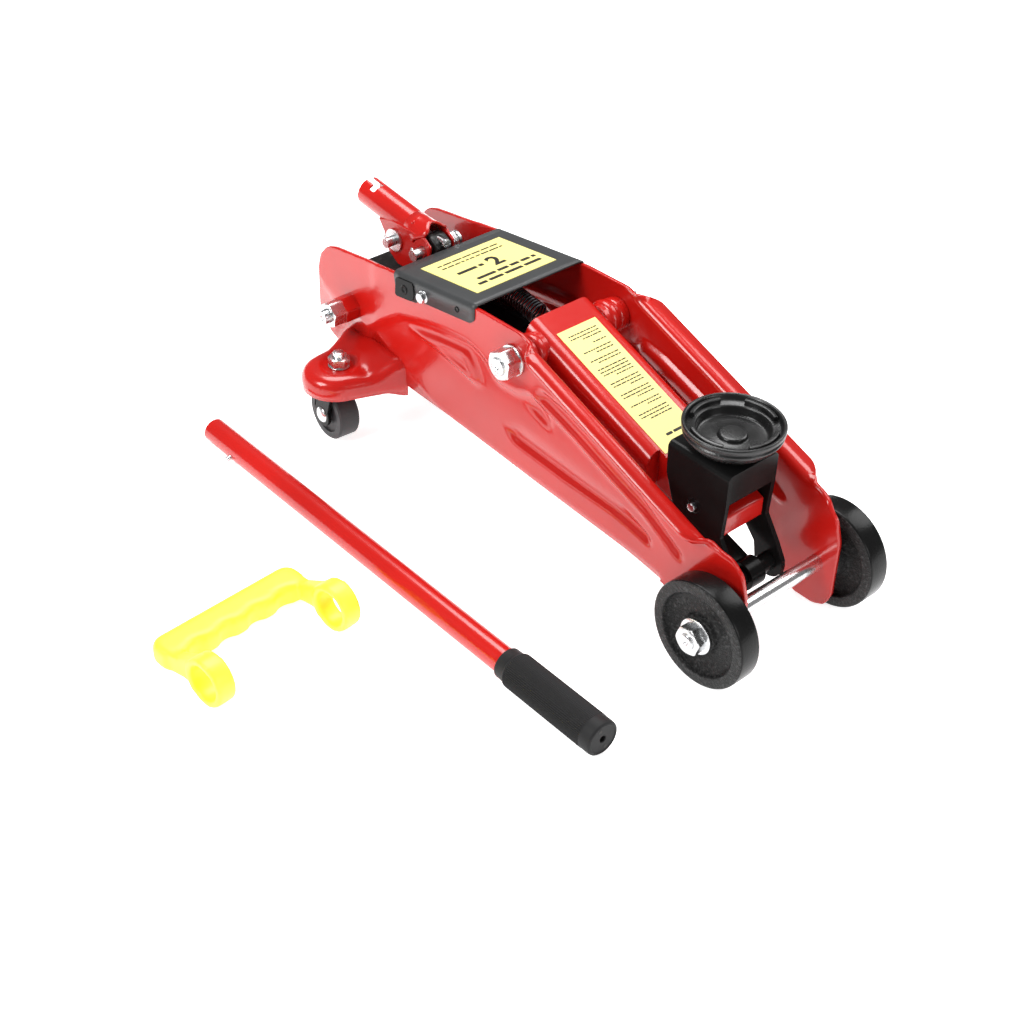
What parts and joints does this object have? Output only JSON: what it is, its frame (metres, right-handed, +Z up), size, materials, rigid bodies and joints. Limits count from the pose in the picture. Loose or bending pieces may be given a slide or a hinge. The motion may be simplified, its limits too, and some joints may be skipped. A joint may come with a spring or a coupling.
{
  "type": "trolley jack",
  "caption": "Low hydraulic trolley jack with pump lever socket, lift arm and turning saddle, with its loose pump lever and carry handle.",
  "frame": {"origin": "on the floor, at the middle of the set's overall box", "axes": "+X towards the front wheels, +Y to the jack's left, +Z up"},
  "size_m": [0.4267, 0.4005, 0.156],
  "materials": {
    "red_paint": "gloss red baked enamel",
    "black_paint": "gloss black paint",
    "zinc": "bright zinc plate",
    "cover_black": "satin black paint",
    "wheel": "black painted casting",
    "chrome": "polished chrome",
    "cast_block": "black painted casting",
    "caster_tyre": "moulded dark grey plastic",
    "label": "pale yellow vinyl",
    "spring_black": "black oxide",
    "grip_black": "ribbed black rubber",
    "carry_yellow": "translucent yellow plastic"
  },
  "bodies": {
    "chassis": {"axle_nuts": "zinc", "axle_washers": "zinc", "caster_bracket_left": "red_paint", "caster_bracket_right": "red_paint", "cover_label": "label", "cover_plate": "cover_black", "cover_screws": "zinc", "front_axle": "chrome", "gland_nut": "black_paint", "king_bolt_left": "zinc", "king_bolt_right": "zinc", "king_nut_left": "zinc", "king_nut_right": "zinc", "link_pin": "zinc", "pivot_bolt": "zinc", "pivot_nuts": "zinc", "pivot_washers": "zinc", "pump_block": "cast_block", "ram_cylinder": "black_paint", "rear_bolts": "zinc", "rear_nuts": "zinc", "rear_spacers": "red_paint", "reservoir_tube": "black_paint", "return_spring": "spring_black", "side_plate_left": "red_paint", "side_plate_right": "red_paint", "socket_pivot_pin": "zinc", "torsion_spring": "zinc"},
    "right_wheel": {"front_wheel_right": "wheel"},
    "left_wheel": {"front_wheel_left": "wheel"},
    "right_caster": {"caster_fork_right": "black_paint", "caster_axle_right": "zinc"},
    "left_caster": {"caster_fork_left": "black_paint", "caster_axle_left": "zinc"},
    "right_caster_roller": {"caster_wheel_right": "caster_tyre"},
    "left_caster_roller": {"caster_wheel_left": "caster_tyre"},
    "arm": {"lift_arm": "red_paint", "roller_pin": "zinc", "ram_roller": "zinc", "arm_label": "label"},
    "saddle_carrier": {"saddle_bracket": "black_paint", "bracket_pin": "zinc", "bracket_pin_clip": "zinc", "cross_rod": "black_paint"},
    "saddle": {"saddle_cup": "black_paint", "saddle_retainer": "zinc"},
    "levelling_rod": {"tie_rod": "black_paint"},
    "ram": {"ram_rod": "chrome"},
    "socket": {"handle_socket": "red_paint", "plunger_pin": "zinc", "plunger_pin_washer": "zinc"},
    "plunger": {"pump_plunger": "chrome"},
    "valve": {"release_valve": "zinc"},
    "lever": {"lever_tube": "red_paint", "lever_grip": "grip_black", "lever_pin": "zinc"},
    "carry": {"carry_handle": "carry_yellow"}
  },
  "joints": [
    {"name": "right_wheel_spin", "type": "hinge", "parent": "chassis", "child": "right_wheel", "pos_m": [0.1779, 0.0418, 0.0354], "axis": [0, 1, 0], "continuous": true},
    {"name": "left_wheel_spin", "type": "hinge", "parent": "chassis", "child": "left_wheel", "pos_m": [0.1779, 0.1618, 0.0354], "axis": [0, 1, 0], "continuous": true},
    {"name": "right_caster_swivel", "type": "hinge", "parent": "chassis", "child": "right_caster", "pos_m": [-0.1556, 0.0293, 0.05], "axis": [0, 0, 1], "continuous": true},
    {"name": "right_caster_spin", "type": "hinge", "parent": "right_caster", "child": "right_caster_roller", "pos_m": [-0.16258, 0.02979, 0.0195], "axis": [-0.0698, -0.9976, 0], "continuous": true},
    {"name": "left_caster_swivel", "type": "hinge", "parent": "chassis", "child": "left_caster", "pos_m": [-0.1556, 0.1743, 0.05], "axis": [0, 0, 1], "continuous": true},
    {"name": "left_caster_spin", "type": "hinge", "parent": "left_caster", "child": "left_caster_roller", "pos_m": [-0.16258, 0.17479, 0.0195], "axis": [-0.0698, -0.9976, 0], "continuous": true},
    {"name": "arm_lift", "type": "hinge", "parent": "chassis", "child": "arm", "pos_m": [-0.0081, 0.1018, 0.1265], "axis": [0, -1, 0], "range_deg": [0, 70]},
    {"name": "saddle_level", "type": "hinge", "parent": "arm", "child": "saddle_carrier", "pos_m": [0.1279, 0.1018, 0.08], "axis": [0, -1, 0], "range_deg": [-70, 0]},
    {"name": "saddle_turn", "type": "hinge", "parent": "saddle_carrier", "child": "saddle", "pos_m": [0.1334, 0.1018, 0.12], "axis": [0, 0, 1], "continuous": true},
    {"name": "rod_swing", "type": "hinge", "parent": "chassis", "child": "levelling_rod", "pos_m": [0.0219, 0.1018, 0.0825], "axis": [0, -1, 0], "range_deg": [0, 70]},
    {"name": "ram_extend", "type": "slide", "parent": "chassis", "child": "ram", "axis": [1, 0, 0], "range_m": [0, 0.039]},
    {"name": "pump_stroke", "type": "hinge", "parent": "chassis", "child": "socket", "pos_m": [-0.1406, 0.1018, 0.132], "axis": [0, 1, 0], "range_deg": [0, 55]},
    {"name": "plunger_stroke", "type": "slide", "parent": "chassis", "child": "plunger", "axis": [0, 0, 1], "range_m": [0, 0.0264]},
    {"name": "valve_turn", "type": "hinge", "parent": "chassis", "child": "valve", "pos_m": [-0.1421, 0.1018, 0.1399], "axis": [1, 0, 0], "range_deg": [0, 90]},
    {"name": "lever_lift_off", "type": "slide", "parent": "chassis", "child": "lever", "axis": [0, 0, 1], "range_m": [0, 0.3]},
    {"name": "carry_handle_lift_off", "type": "slide", "parent": "chassis", "child": "carry", "axis": [0, 0, 1], "range_m": [0, 0.3]}
  ],
  "couplings": [
    {"joint": "saddle_level", "follows": "arm_lift", "ratio": -1},
    {"joint": "rod_swing", "follows": "arm_lift", "ratio": 1},
    {"joint": "ram_extend", "follows": "arm_lift", "m_per_rad": 0.031925},
    {"joint": "plunger_stroke", "follows": "pump_stroke", "m_per_rad": 0.0273}
  ]
}
